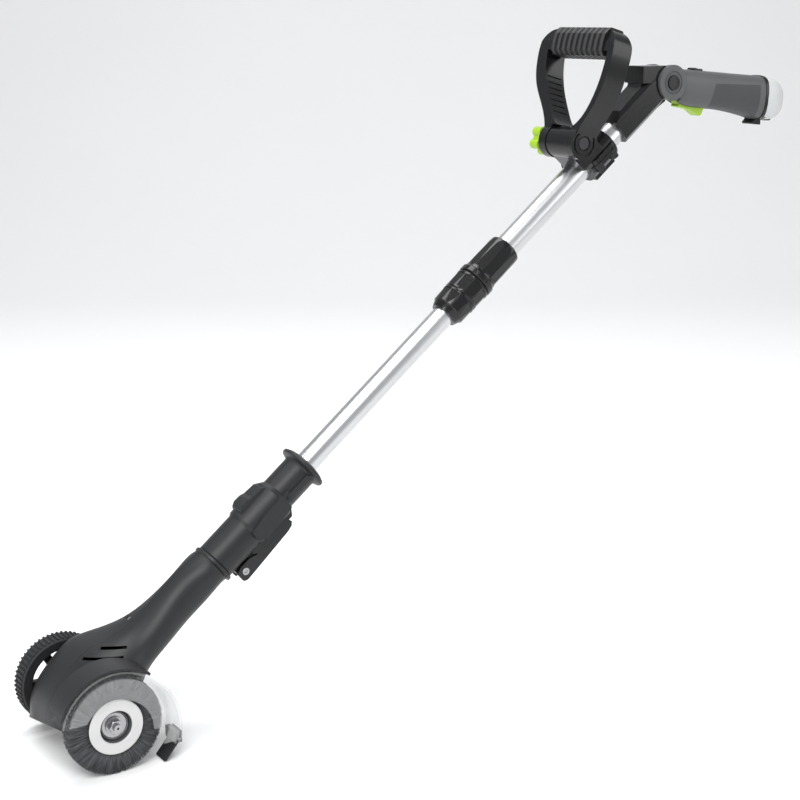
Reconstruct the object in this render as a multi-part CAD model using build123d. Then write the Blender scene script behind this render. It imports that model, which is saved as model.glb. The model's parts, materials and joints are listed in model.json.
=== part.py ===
from build123d import *
from math import cos, pi, radians, sin
import os

# Battery rotary-brush edger. Millimetres, +Z up, origin on the ground below the wheel axle.
# -X is forwards, +X is towards the user, -Y is the brush side and +Y the guide-wheel side.

# ---- driving dimensions -------------------------------------------------------------------
AXLE_HEIGHT = 50.0
POLE_ANGLE = 38.9            # pole above the ground
PLAY = 0.3                   # gap between parts that move past each other
FIT = 0.05                   # radial play of a running fit
SEAM = 0.15                  # half of the parting gap between two moulded halves
WALL = 2.4                   # moulded wall

BRUSH_R = 50.0
BRUSH_Y0, BRUSH_Y1 = -74.5, -59.0
HUB_R, HUB_RECESS_R = 28.2, 16.7
SHAFT_R = 4.0
WHEEL_R, RIM_R = 48.5, 42.0
WHEEL_Y0, WHEEL_Y1 = 56.0, 78.0
GUARD_R, GUARD_T = 57.0, 2.0
GUARD_Y0, GUARD_Y1 = -79.5, -49.5
HEAD_Y0, HEAD_Y1 = -47.0, 47.0
HEAD_END_S = 186.0           # end of the head's neck, along the pole

LOWER_TUBE_R, LOWER_BORE_R = 12.5, 11.3
UPPER_TUBE_R, UPPER_BORE_R = 14.0, 12.8
LOWER_TUBE = (232.0, 690.0)  # from and to, along the pole
UPPER_TUBE = (600.0, 905.0)
COUPLING = (190.3, 322.0)
FLANGE = (322.0, 333.0)
NUT = (562.0, 614.6)
SLEEVE = (615.0, 671.0)
CLAMP = (797.0, 850.0)
CLAMP_R = 20.5
ARM_START_S = 868.0

LATCH_PIVOT = (206.0, -29.0)     # along the pole, and above it
D_PIVOT = (807.0, 38.6)
D_LEAN = 15.0                    # front handle, back from upright
GRIP_PIVOT = (959.0, -2.5)
GRIP_SLOPE = 5.0                 # rear grip, down towards its end
GRIP_END = 154.0
KNUCKLE_R = 19.5
CHEEK_R = 20.5

MIN, MID, MAX = Align.MIN, Align.CENTER, Align.MAX


# ---- frames -------------------------------------------------------------------------------
# pole frame: x along the pole from the axle, y across, z square to the pole and upwards
POLE = Pos(0, 0, AXLE_HEIGHT) * Rot(0, -POLE_ANGLE, 0)


def on_pole(s, n):
    """The location of a point s along the pole and n above it, with the world's axes."""
    a = radians(POLE_ANGLE)
    return Pos(s * cos(a) - n * sin(a), 0, AXLE_HEIGHT + s * sin(a) + n * cos(a))


AXLE = Pos(0, 0, AXLE_HEIGHT)
D_FRAME = on_pole(*D_PIVOT) * Rot(0, D_LEAN, 0)
GRIP = on_pole(*GRIP_PIVOT) * Rot(0, GRIP_SLOPE, 0)


# ---- shape helpers ------------------------------------------------------------------------
def rod_x(r, x0, x1, y=0.0, z=0.0):
    return Pos(x0, y, z) * Rot(0, 90, 0) * Cylinder(r, x1 - x0, align=(MID, MID, MIN))


def rod_y(r, y0, y1, x=0.0, z=0.0):
    return Pos(x, y0, z) * Rot(-90, 0, 0) * Cylinder(r, y1 - y0, align=(MID, MID, MIN))


def rod_z(r, z0, z1, x=0.0, y=0.0):
    return Pos(x, y, z0) * Cylinder(r, z1 - z0, align=(MID, MID, MIN))


def tube_x(r_out, r_in, x0, x1, y=0.0, z=0.0):
    return rod_x(r_out, x0, x1, y, z) - rod_x(r_in, x0 - 1, x1 + 1, y, z)


def tube_y(r_out, r_in, y0, y1, x=0.0, z=0.0):
    return rod_y(r_out, y0, y1, x, z) - rod_y(r_in, y0 - 1, y1 + 1, x, z)


def block(x0, x1, y0, y1, z0, z1):
    return Pos(x0, y0, z0) * Box(x1 - x0, y1 - y0, z1 - z0, align=(MIN, MIN, MIN))


def prism_y(points, y0, y1, corner=0.0):
    """A polygon in the XZ plane, extruded from y0 to y1."""
    face = make_face(Plane.XZ * Polyline(*points, close=True))
    if corner:
        face = fillet(face.vertices(), corner)
    return Pos(0, y0, 0) * extrude(face, y1 - y0, dir=(0, 1, 0))


def prism_x(points, x0, x1, corner=0.0):
    """A polygon in the YZ plane, extruded from x0 to x1."""
    face = make_face(Plane.YZ * Polyline(*points, close=True))
    if corner:
        face = fillet(face.vertices(), corner)
    return Pos(x0, 0, 0) * extrude(face, x1 - x0, dir=(1, 0, 0))


def prism_z(points, z0, z1, corner):
    """A polygon in the XY plane with rounded corners, extruded from z0 to z1."""
    face = fillet(make_face(Polyline(*points, close=True)).vertices(), corner)
    return Pos(0, 0, z0) * extrude(face, z1 - z0, dir=(0, 0, 1))


def hexagon_y(r, y0, y1):
    return Pos(0, y0, 0) * extrude(Plane.XZ * RegularPolygon(r, 6), y1 - y0, dir=(0, 1, 0))


def turned_x(profile):
    """A closed (along, radius) outline turned about the x axis."""
    face = make_face(Plane.XZ * Polyline(*profile, close=True))
    return revolve(face, Axis.X)


def turned_y(profile):
    """A closed (radius, along) outline turned about the y axis."""
    face = make_face(Plane.XY * Polyline(*profile, close=True))
    return revolve(face, Axis.Y)


def around(count, part, axis="y"):
    turn = {"x": lambda a: Rot(a, 0, 0), "y": lambda a: Rot(0, a, 0)}[axis]
    return [turn(i * 360 / count) * part for i in range(count)]


def fused(parts):
    whole = parts[0]
    for part in parts[1:]:
        whole = whole + part
    return whole


def egg_wire(x, top, bottom, near, far, far_power, near_power=2.0, steps=12):
    """A smooth closed section square to x: near (-y) is round, far (+y) is squarer."""
    mid, half = (top + bottom) / 2, (top - bottom) / 2
    sides = []
    for way, reach, power in ((1, far, far_power), (-1, near, near_power)):
        points = [(x, 0, mid - way * half)]
        for i in range(1, steps):
            a = pi * i / steps
            r = ((sin(a) / reach) ** power + (abs(cos(a)) / half) ** power) ** (-1 / power)
            points.append((x, way * r * sin(a), mid - way * r * cos(a)))
        points.append((x, 0, mid + way * half))
        sides.append(Spline(*points, tangents=[(0, way, 0), (0, -way, 0)]))
    return sides


def egg_loft(sections, inset=0.0):
    """A skin through egg sections, each pulled in by the inset."""
    rows = [(x, t - inset, b + inset, n - inset, f - inset, p) for x, t, b, n, f, p in sections]
    first, last = rows[0], rows[-1]
    rows[0] = (first[0] - inset if first[0] > last[0] else first[0] + inset,) + first[1:]
    rows[-1] = (last[0] + inset if first[0] > last[0] else last[0] - inset,) + last[1:]
    return loft([make_face(egg_wire(*row)) for row in rows])


def halves(part):
    """The left (-y) and right (+y) halves of a moulding, either side of the parting gap."""
    reach = 2600.0
    left = part & (Pos(0, -SEAM, 0) * Box(reach, reach, reach, align=(MID, MAX, MID)))
    right = part & (Pos(0, SEAM, 0) * Box(reach, reach, reach, align=(MID, MIN, MID)))
    return left, right


def screw_y(r_shank, r_head, x, z, y_head, y_tip, head=2.2):
    """A pan-head screw along y, from the face of its head to its tip, with a cross recess."""
    way = 1 if y_tip > y_head else -1
    part = rod_y(r_head, *sorted((y_head, y_head + way * head)), x, z)
    part += rod_y(r_shank, *sorted((y_head, y_tip)), x, z)
    slot = r_head * 0.62
    for a, b in ((slot, 0.45), (0.45, slot)):
        part -= Pos(x, y_head, z) * Box(2 * a, 1.8, 2 * b)
    return part


def screw_bore(r_shank, r_head, x, z, y_head, y_tip, head=2.2):
    """The room a screw needs: a way in for its head, and a blind hole for its thread."""
    way = 1 if y_tip > y_head else -1
    way_in = rod_y(r_head + PLAY, *sorted((y_head - way * 60, y_head + way * head)), x, z)
    return way_in + rod_y(r_shank, *sorted((y_head, y_tip + way)), x, z)


# ---- head: shells, motor, gears -----------------------------------------------------------
HEAD_SECTIONS = [            # along the pole: top, bottom, near and far reach, squareness
    (HEAD_END_S, 22.5, -20.5, 21.5, 21.5, 2.0),
    (160.0, 24.5, -20.0, 22.3, 22.3, 2.0),
    (125.0, 24.0, -20.0, 22.8, 22.8, 2.1),
    (100.0, 24.0, -20.0, 27.5, 29.5, 2.4),
    (79.0, 26.0, -20.0, 31.5, 40.0, 2.7),
    (62.0, 30.0, -21.0, 37.5, 50.5, 3.2),
    (46.0, 36.0, -26.0, 46.0, 57.0, 4.0),
    (28.0, 40.5, -33.5, 49.0, 59.0, 5.0),
    (8.0, 39.5, -36.0, 49.0, 60.0, 5.0),
    (-12.0, 35.5, -31.0, 49.0, 60.0, 5.0),
    (-30.0, 28.0, -16.0, 48.0, 59.0, 5.0),
    (-44.0, 17.5, -3.0, 46.0, 57.0, 5.0),
    (-53.0, 10.0, 1.0, 44.0, 55.0, 5.0),
]
HEAD_FLOOR = 25.0            # underside of the head above the ground
SHROUD_T = 2.6               # thickness of the lip over the guard
SHROUD_Y0 = -76.0            # how far the lip reaches over it
VENTS = (((24.5, -17.5, 107.3), 27.0), ((11.0, -20.9, 100.2), 42.0))   # middle and length
MOTOR = (66.0, 116.0)
MOTOR_R = 16.4
BRACKET_R = 17.4
BEARINGS = ((-45.5, -38.5), (6.0, 13.0))
BEARING_R = 11.0
PINION_TEETH, CROWN_TEETH, GEAR_MODULE = 8, 24, 1.5
GEAR_FACE = (15.2, 20.8)


def head_volume(inset):
    """The outside (inset 0) or the cavity (inset WALL) of the head, in the world frame."""
    body = POLE * egg_loft(HEAD_SECTIONS, inset)
    room = block(-120, 260, HEAD_Y0 + inset, HEAD_Y1 - inset, HEAD_FLOOR + inset, 260)
    return (body & room) - chin_cut(inset)


def chin_cut(inset):
    """What is cut from under the nose, where the underside rises towards the brush."""
    upright = Vector(0.55, 0.18, 0.82).normalized()
    plane = Plane(origin=Vector(-46, 50, HEAD_FLOOR) + upright * inset, z_dir=upright)
    return plane * Box(400, 400, 100, align=(MID, MID, MAX))


def shroud():
    """The lip of the head that covers the top of the guard, and the plate that carries it."""
    sector = prism_y([(0, 0), (-80, 30), (-80, 90), (62, 90), (62, 77)], -90, -30)
    outer = guard_line(-PLAY - SHROUD_T)
    lip = prism_y(outer + guard_line(-PLAY)[::-1], SHROUD_Y0, -43.0)
    plate = prism_y(outer + [(0, 0)], -48.9, -46.0) - rod_y(30.0, -50, -45)
    return AXLE * ((lip + plate) & sector)


def vent_slots():
    """Two cooling slots, nearly level, through the near shoulder."""
    lean = Rot(0, 0, -33) * Rot(-13, 0, 0) * Rot(0, -3, 0)
    return [Pos(*middle) * lean * Box(length, 18.0, 2.8) for middle, length in VENTS]


def make_head_shells():
    outer = head_volume(0.0) + shroud()
    outer += AXLE * rod_y(12.0, 44.0, WHEEL_Y0 - PLAY)
    hollow = outer - head_volume(WALL)
    hollow += AXLE * rod_y(13.5, HEAD_Y0, -38.0)
    hollow += AXLE * rod_y(9.0, 36.0, 46.0)
    hollow -= AXLE * rod_y(BEARING_R, -45.5, -37.0)
    hollow -= AXLE * rod_y(SHAFT_R + PLAY + 1.2, -60.0, -37.0)
    hollow -= AXLE * rod_y(SHAFT_R, 35.0, 60.0)
    for x, z in GUARD_SCREWS:
        hollow += rod_y(4.4, -48.9, -36.0, x, z)
        hollow -= rod_y(1.5, -60, -42.0, x, z)
    for s, n in HEAD_SCREWS:
        hole = POLE * screw_bore(*HEAD_SCREW, s, n, SCREW_SEAT, SCREW_TIP)
        tower = POLE * rod_y(4.6, -60, 60, s, n)
        hollow += tower & head_volume(0.5)
        hollow -= hole
    for slot in vent_slots():
        hollow -= slot
    hollow -= POLE * rod_x(15.0 + PLAY, HEAD_END_S - 8, HEAD_END_S + 2)
    return halves(hollow)


HEAD_SCREW = (1.65, 3.0)     # shank and head radius
HEAD_SCREWS = ((168.0, 15.5), (168.0, -13.5), (88.0, 22.2), (22.0, 31.5), (-30.0, 8.0))
SCREW_SEAT, SCREW_TIP = 9.0, -7.5
GUARD_SCREWS = ((34.0, 82.0), (-2.0, 88.0), (-32.0, 58.0))


def make_head_screws():
    return [POLE * screw_y(*HEAD_SCREW, s, n, SCREW_SEAT, SCREW_TIP) for s, n in HEAD_SCREWS]


def make_motor_can():
    s0, s1 = MOTOR
    can = rod_x(MOTOR_R, s0, s1) - rod_x(MOTOR_R - 1.4, s0 + 2, s1 - 2)
    can -= rod_x(2.0 + PLAY, s0 - 1, s1 + 1)
    for flat in (-1, 1):
        can -= block(s0 + 6, s1 - 6, flat * 20 - 2.0, flat * 20 + 2.0, -7, 7)
    return POLE * can


def make_motor_bracket():
    """The bulkhead between motor and gears, bolted to the motor's nose."""
    plate = rod_x(BRACKET_R, 61.5, 65.8) - rod_x(5.0, 60, 67)
    plate -= fused([Pos(0, 11 * side, 0) * rod_x(1.6, 60, 67) for side in (-1, 1)])
    return POLE * (plate + tube_x(BRACKET_R, MOTOR_R + 0.1, 65.8, 70.0))


def make_shaft_bearings():
    rings = []
    for y0, y1 in BEARINGS:
        ring = turned_y([(SHAFT_R + FIT, y0), (BEARING_R, y0), (BEARING_R, y1), (SHAFT_R + FIT, y1)])
        for side in (y0, y1):
            ring -= tube_y(8.8, 6.4, side - 0.5, side + 0.5)
        rings.append(AXLE * ring)
    return rings


def make_gearbox_frame():
    """The bracket that carries the inner bearing, webbed to the motor bulkhead."""
    y0, y1 = BEARINGS[1]
    ring = rod_y(15.0, y0, y1) - rod_y(BEARING_R, y0 - 1, y1 + 1)
    web = block(12.0, 61.0, y0 + 3.2, y1, -9, 9) - rod_y(15.0, y0 - 2, y1 + 2)
    flange = block(57.0, 61.2, y0, 17.0, -9, 9)
    return POLE * (ring + web + flange)


def make_rotor():
    s0, s1 = MOTOR
    core = rod_x(12.6, s0 + 8, s1 - 10)
    for groove in around(9, block(s0 + 7, s1 - 9, -1.0, 1.0, 9.5, 14), "x"):
        core -= groove
    part = core + rod_x(2.0, GEAR_FACE[0], 127.0) + rod_x(4.6, s1 - 9.5, s1 - 3)
    return POLE * part


def make_fan():
    hub = tube_x(4.5, 2.0, 117.6, 126.0)
    disc = tube_x(14.5, 4.4, 117.6, 119.0)
    blade = block(118.8, 125.0, -0.6, 0.6, 4.2, 14.2)
    return POLE * fused([hub, disc] + around(9, blade, "x"))


def make_pinion():
    pitch_r = PINION_TEETH * GEAR_MODULE / 2
    s0, s1 = GEAR_FACE
    blank = tube_x(pitch_r - 1.8, 2.0, s0, s1 + 3)
    tooth = prism_x([(-1.15, 3.6), (1.15, 3.6), (0.62, pitch_r + 1.25), (-0.62, pitch_r + 1.25)], s0, s1)
    part = fused([blank] + around(PINION_TEETH, tooth, "x"))
    return POLE * part


def make_crown_gear():
    """A face gear whose teeth point at the pinion; a tooth gap faces the pinion's lowest tooth."""
    pitch_y = -PINION_TEETH * GEAR_MODULE / 2
    disc = tube_y(21.6, SHAFT_R, pitch_y - 6.2, pitch_y - 1.7)
    hub = tube_y(8.0, SHAFT_R, pitch_y - 11.0, pitch_y - 6.0)
    tooth = crown_tooth(GEAR_FACE, pitch_y)
    turn = [Rot(0, (i + 0.5) * 360 / CROWN_TEETH, 0) * tooth for i in range(CROWN_TEETH)]
    return POLE * fused([disc, hub] + turn)


def crown_tooth(face, pitch_y):
    """One crown tooth lying along +x, its flanks sloping in towards +y."""
    root, tip = pitch_y - 1.9, pitch_y + 1.15
    outline = [(root, -1.05), (root, 1.05), (tip, 0.55), (tip, -0.55)]
    points = [(face[0] - 0.6, y, z) for y, z in outline]
    section = make_face(Polyline(*points, close=True))
    return extrude(section, face[1] - face[0] + 1.2, dir=(1, 0, 0))


# ---- brush --------------------------------------------------------------------------------
def make_output_shaft():
    shaft = rod_y(SHAFT_R, -80.0, 14.0)
    shaft += rod_y(6.6, -36.5, -18.0)
    shaft += rod_y(5.0, -61.0, -48.0) & block(-4.2, 4.2, -70, -40, -8, 8)
    shaft -= rod_y(1.2, -81, -77)
    return AXLE * shaft


def make_brush_flange():
    """The steel driver behind the brush."""
    part = turned_y([(SHAFT_R, -54.6), (14.0, -54.6), (15.0, -53.6), (15.0, -52.4), (9.0, -51.2),
                     (SHAFT_R, -51.2)])
    return AXLE * (part - block(-5, 5, -61.5, -47.5, -5, 5) + tube_y(9.0, 7.1, -54.6, -51.2))


def make_brush_core():
    """The moulded hub of the brush, with a recess for the nut and three curved slots."""
    r = HUB_R - 1.4
    part = turned_y([(SHAFT_R + 1.1, -54.9), (r, -54.9), (r, -74.3), (HUB_RECESS_R, -74.3),
                     (HUB_RECESS_R - 1.2, -68.0), (SHAFT_R + 1.1, -68.0)])
    for i in range(3):
        slot = tube_y(14.0, 11.8, -70, -53) & prism_y([(0, 0), (25, -10), (25, 10)], -71, -50)
        part -= Rot(0, 40 + 120 * i, 0) * slot
    return AXLE * part


def make_hub_disc():
    disc = turned_y([(HUB_RECESS_R, -74.5), (HUB_R, -74.5), (HUB_R, -75.6), (HUB_R - 0.8, -76.4),
                     (HUB_RECESS_R + 0.8, -76.4), (HUB_RECESS_R, -75.6)])
    return AXLE * disc


def make_brush_ring():
    ring = turned_y([(HUB_R - 1.2, BRUSH_Y0 + 0.3), (HUB_R - 1.2, BRUSH_Y1), (BRUSH_R - 1.5, BRUSH_Y1),
                     (BRUSH_R, BRUSH_Y1 - 1.5), (BRUSH_R, BRUSH_Y0 + 1.5), (BRUSH_R - 1.5, BRUSH_Y0)])
    return AXLE * ring


def make_hub_washer():
    cup = turned_y([(SHAFT_R + FIT, -68.2), (13.4, -68.2), (14.6, -70.6), (13.8, -71.2),
                    (12.6, -69.8), (SHAFT_R + FIT, -69.8)])
    return AXLE * cup


def make_hub_nut():
    nut = hexagon_y(7.5, -76.6, -70.0)
    nut += rod_y(9.2, -71.4, -70.0)
    nut -= rod_y(SHAFT_R + FIT, -78, -68)
    return AXLE * (nut & turned_y([(0, -77), (6.4, -77), (9.4, -74.6), (9.4, -69), (0, -69)]))


# ---- guard --------------------------------------------------------------------------------
SKIRT_TURN = 80.0            # where the guard leaves its circle, above the rear
SKIRT_R = 71.0
SKIRT_END = -12.0
GUARD_FRONT = 168.0


def arc_points(x, z, r, a0, a1, steps):
    """Points on an arc in the XZ plane, angles from +x towards +z."""
    turn = [radians(a0 + (a1 - a0) * i / steps) for i in range(steps + 1)]
    return [(x + r * cos(a), z + r * sin(a)) for a in turn]


def guard_line(inset):
    """The guard's edge seen from the side: a circle that opens into a straighter rear skirt."""
    a = radians(SKIRT_TURN)
    back = SKIRT_R - GUARD_R
    cx, cz = -back * cos(a), -back * sin(a)
    front = arc_points(0, 0, GUARD_R - inset, GUARD_FRONT, SKIRT_TURN, 40)
    return front + arc_points(cx, cz, SKIRT_R - inset, SKIRT_TURN, SKIRT_END, 14)[1:]


def make_guard():
    band = prism_y(guard_line(0) + guard_line(GUARD_T)[::-1], GUARD_Y0, GUARD_Y1)
    outer = guard_line(0.5)
    disc = prism_y(outer + [(46.0, outer[-1][1]), (46.0, -10.5), (0, -10.5), (0, 11.7)], GUARD_Y0,
                   GUARD_Y0 + GUARD_T)
    disc -= rod_y(38.5, GUARD_Y0 - 1, GUARD_Y0 + 4, 0, -10)
    wall = prism_y(guard_line(0.5) + [(30, -12), (0, 0)], GUARD_Y1 - 0.4, GUARD_Y1 + 0.4)
    wall -= rod_y(28, GUARD_Y1 - 2, GUARD_Y1 + 2)
    part = AXLE * (band + disc + wall)
    for x, z in GUARD_SCREWS:
        part -= rod_y(1.9, -60, -46, x, z)
    return part


def make_guard_screws():
    return [screw_y(1.5, 3.2, x, z, -51.6, -44.6, head=1.6) for x, z in GUARD_SCREWS]


def skirt_end():
    return guard_line(0)[-1]


def make_flap_clamp():
    """The bar that holds the flap on the end of the skirt."""
    x, z = skirt_end()
    bar = block(x - 6.5, x + 1.6, GUARD_Y0 + GUARD_T + 0.2, GUARD_Y0 + 24, z - 4, z + 8)
    bar -= guard_band_core()
    bar -= block(x - 4.6, x - 2.6, GUARD_Y0 - 1, GUARD_Y0 + 25, z - 5, z + 3)
    return AXLE * bar


def guard_band_core():
    return prism_y(guard_line(-0.1) + guard_line(GUARD_T + 0.1)[::-1], GUARD_Y0 - 1, GUARD_Y1 + 1)


def make_flap():
    """The rubber flap, leaning forwards down to just above the ground."""
    x, z = skirt_end()
    foot = 1.0 - AXLE_HEIGHT
    outline = [(x - 4.6, z + 3), (x - 2.6, z + 3), (x - 2.6, z - 4.2), (x - 16.0, foot),
               (x - 18.4, foot), (x - 4.6, z - 4.2)]
    return AXLE * prism_y(outline, GUARD_Y0 + GUARD_T + 0.4, GUARD_Y0 + 23)


# ---- guide wheel --------------------------------------------------------------------------
def make_wheel_rim():
    rim = turned_y([(RIM_R - 6, WHEEL_Y0 + 1), (RIM_R, WHEEL_Y0 + 1), (RIM_R, WHEEL_Y1 - 1),
                    (RIM_R - 4, WHEEL_Y1 - 1)])
    hub = tube_y(10.0, SHAFT_R + PLAY, WHEEL_Y0, WHEEL_Y1 - 4)
    spoke = block(8.0, RIM_R - 2, 62.5, 69.5, -4.5, 4.5)
    web = tube_y(22.0, 9.0, 63.5, 68.5)
    return AXLE * fused([rim, hub, web] + around(6, spoke))


def make_wheel_tyre():
    tyre = turned_y([(RIM_R, WHEEL_Y0 + 1), (WHEEL_R - 3, WHEEL_Y0), (WHEEL_R - 1.5, WHEEL_Y0 + 1),
                     (WHEEL_R - 1.5, WHEEL_Y1 - 1), (WHEEL_R - 3, WHEEL_Y1), (RIM_R, WHEEL_Y1 - 1)])
    rib = block(WHEEL_R - 2.6, WHEEL_R, WHEEL_Y0 + 1.2, WHEEL_Y1 - 1.2, -1.0, 1.0)
    return AXLE * fused([tyre] + around(60, rib))


def make_wheel_bolt():
    bolt = rod_y(SHAFT_R, 37.0, WHEEL_Y1 - 2) + rod_y(8.0, WHEEL_Y1 - 3.6, WHEEL_Y1)
    bolt -= hexagon_y(3.4, WHEEL_Y1 - 2.0, WHEEL_Y1 + 0.4)
    return AXLE * bolt


# ---- coupling -----------------------------------------------------------------------------
def make_swivel_ring():
    """The collar on the end of the neck, with the spigot that turns inside the coupling."""
    ring = turned_x([(HEAD_END_S - 8, 15.0), (HEAD_END_S - 8, 11.5), (205, 11.5), (205, 15.0),
                     (198.5, 15.0), (198.5, 17.2), (193.6, 17.2), (193.6, 15.0), (190.0, 15.0),
                     (190.0, 23.0), (189.2, 23.8), (HEAD_END_S + 0.6, 23.8), (HEAD_END_S, 23.0),
                     (HEAD_END_S, 15.0)])
    return POLE * ring


def coupling_volume():
    s0, s1 = COUPLING
    core = turned_x([(s0, 0), (s0, 21.0), (s0 + 1, 21.6), (236, 21.6), (240, 23.6), (282, 23.6),
                     (288, 19.6), (s1, 19.6), (s1, 0)])
    hump = prism_y([(238, 10), (245, 25.0), (250, 28.0), (259, 27.6), (264, 25.6), (278, 24.6), (287, 18),
                    (287, 10)], -9.5, 9.5, 1.5)
    keel = prism_y([(224, -10), (224, -21), (229, -24.6), (282, -24.6), (287, -17), (287, -10)],
                   -12.5, 12.5, 1.2)
    ear_x, ear_z = LATCH_PIVOT
    ear = prism_y([(198, -10), (ear_x - 7.5, ear_z), (ear_x + 7.5, ear_z), (222, -10)], -7, 7)
    ear += rod_y(7.5, -7, 7, ear_x, ear_z)
    panel = prism_y([(244, -13.5), (236, -7), (236, 5), (258, 9), (286, 9), (286, -9)], -25.2, 0, 1.5)
    bump = block(286.5, 294.5, -21.0, 0, 1.0, 6.5)
    rails = block(290, s1, -21.4, 21.4, -2.2, 2.2) - block(289, s1 + 1, -18, 18, -3, 3)
    return fused([core, hump, keel, ear, panel, bump, rails])


def make_coupling_shells():
    s0, s1 = COUPLING
    body = coupling_volume()
    body -= rod_x(15.0 + PLAY, s0 - 1, s0 + 4)
    body -= rod_x(18.0, s0 + 2.8, LOWER_TUBE[0])
    body -= rod_x(LOWER_TUBE_R, LOWER_TUBE[0] - 1, s1 + 1)
    body -= rod_y(2.0, -30, 30, *LATCH_PIVOT)
    for s, n in COUPLING_SCREWS:
        body -= screw_bore(1.5, 2.9, s, n, 14.5, -11.0)
    return [POLE * half for half in halves(body)]


COUPLING_SCREWS = ((250.0, 18.5), (276.0, 18.5), (250.0, -18.5), (276.0, -18.5))


def make_coupling_screws():
    return [POLE * screw_y(1.5, 2.9, s, n, 14.5, -11.0) for s, n in COUPLING_SCREWS]


def make_flange_collar():
    s0, s1 = FLANGE
    ring = turned_x([(s0, LOWER_TUBE_R), (s0, 19.6), (s0 + 2, 21.0), (s0 + 4, 26.4), (s0 + 5.4, 27.4),
                     (s0 + 7.5, 27.2), (s0 + 9.5, 23.5), (s1, 17.5), (s1, LOWER_TUBE_R)])
    return POLE * ring


def make_latch_lever():
    """A U-shaped lever that lies under the coupling and hooks over its keel."""
    px, pz = LATCH_PIVOT
    outline = [(px - 8.5, pz + 4), (px - 8.5, pz - 7), (px - 4, pz - 9.2), (px + 8, pz - 8.6),
               (268, -34.4), (275, -32.8), (278.6, -29), (277.4, -26.0), (273, -25.0), (226, -25.0),
               (px + 12, pz + 7.4), (px - 2, pz + 7.4)]
    part = prism_y(outline, -11.5, 11.5, 1.4)
    part -= block(px - 12, px + 21, -7.0 - PLAY, 7.0 + PLAY, pz - 7.5 - PLAY - 0.6, 0)
    part -= block(px + 22, 270, -8.6, 8.6, -32.0, -20)
    part -= rod_y(2.0 + FIT, -20, 20, px, pz)
    part -= rod_y(4.3, -12, -10.2, px, pz)
    part += prism_y([(263, -25.2), (271, -25.2), (271, -32.6), (268, -32.6)], -6, 6)
    return POLE * part


def make_latch_screw():
    px, pz = LATCH_PIVOT
    part = rod_y(2.0, -10.4, 10.8, px, pz) + rod_y(4.0, -12.2, -10.4, px, pz)
    for a, b in ((2.6, 0.5), (0.5, 2.6)):
        part -= Pos(px, -12.2, pz) * Box(2 * a, 1.6, 2 * b)
    return POLE * part


# ---- telescopic pole ----------------------------------------------------------------------
def make_lower_tube():
    return POLE * tube_x(LOWER_TUBE_R, LOWER_BORE_R, *LOWER_TUBE)


def make_upper_tube():
    return POLE * tube_x(UPPER_TUBE_R, UPPER_BORE_R, *UPPER_TUBE)


def fluted(body, count, r, depth, s0, s1):
    """Shallow flats cut along a round body."""
    cutter = block(s0, s1, -r, r, r - depth, r + 10)
    for flat in around(count, cutter, "x"):
        body -= flat
    return body


def make_collar_sleeve():
    s0, s1 = SLEEVE
    body = turned_x([(s0, UPPER_TUBE_R), (s0, 20.6), (s0 + 1, 21.6), (s0 + 6.5, 21.6), (s0 + 8, 20.4),
                     (s0 + 10, 19.8), (s1 - 8, 19.2), (s1 - 1.5, 18.6), (s1, 17.0), (s1, UPPER_TUBE_R)])
    return POLE * fluted(body, 10, 19.9, 1.2, s0 + 12, s1 + 1)


def make_collet():
    """The split ring that the nut squeezes onto the lower tube."""
    ring = turned_x([(568, UPPER_BORE_R), (568, 14.0), (572, 15.0), (596, 15.0), (599.6, 15.6),
                     (599.6, UPPER_BORE_R)])
    for slit in range(4):
        cut = Rot(45 + 90 * slit, 0, 0) * block(567, 592, -0.8, 0.8, 5, 20)
        ring -= cut
    return POLE * ring


def make_collar_nut():
    s0, s1 = NUT
    body = turned_x([(s0, LOWER_TUBE_R + PLAY), (s0, 15.6), (s0 + 3, 17.0), (s0 + 7, 18.6), (s0 + 8, 19.8),
                     (s0 + 26, 20.8), (s0 + 27.5, 20.0), (s0 + 29, 20.8), (s1 - 2, 21.2), (s1, 20.2),
                     (s1, 15.6 + PLAY), (s0 + 5, 15.6 + PLAY), (s0 + 5, LOWER_TUBE_R + PLAY)])
    body = fluted(body, 10, 20.9, 1.1, s0 + 9, s0 + 25)
    return POLE * fluted(body, 10, 21.2, 1.0, s0 + 31, s1 - 4)


# ---- front handle -------------------------------------------------------------------------
HUB_LEFT = (-35.0, -24.0)        # near cheek of the front handle, across the object
HUB_RIGHT = (12.5, 24.0)
LUG = (-23.6, 12.1)
D_CHEEK_R = 19.0
D_OUTER = (                  # near and far legs, seen from behind: curves from foot to top bar
    [(-34, -6), (-38, 14), (-50, 36), (-60, 62), (-63.5, 90), (-60, 117), (-46, 127)],
    [(48, 127), (63, 117), (66, 90), (58.5, 64), (44, 44), (28, 22), (22, -6)],
)
D_INNER = (
    [(-26, 17), (-35, 25), (-44, 40), (-51, 62), (-54, 84), (-54, 102)],
    [(51, 102), (47, 80), (37, 58), (22, 36), (10, 22), (2, 17)],
)


def loop_x(near, far, x0, x1):
    """The area between two leg curves, joined by straight lines, extruded from x0 to x1."""
    left = Spline(*[(x0, y, z) for y, z in near])
    right = Spline(*[(x0, y, z) for y, z in far])
    edges = [left, Line(left @ 1, right @ 0), right, Line(right @ 1, left @ 0)]
    return extrude(make_face(edges), x1 - x0, dir=(1, 0, 0))


def handle_loop():
    """The whole loop before its feet are shaped: the legs taper upwards to a rounded top bar."""
    side = [(-15, -30), (-14, 60), (-13.5, 112), (-9, 127.5), (9, 127.5), (13.5, 112), (14, 60), (15, -30)]
    ring = loop_x(*D_OUTER, -16, 16) - loop_x(*D_INNER, -20, 20)
    return ring & prism_y(side, -90, 90, 3.0)


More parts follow.
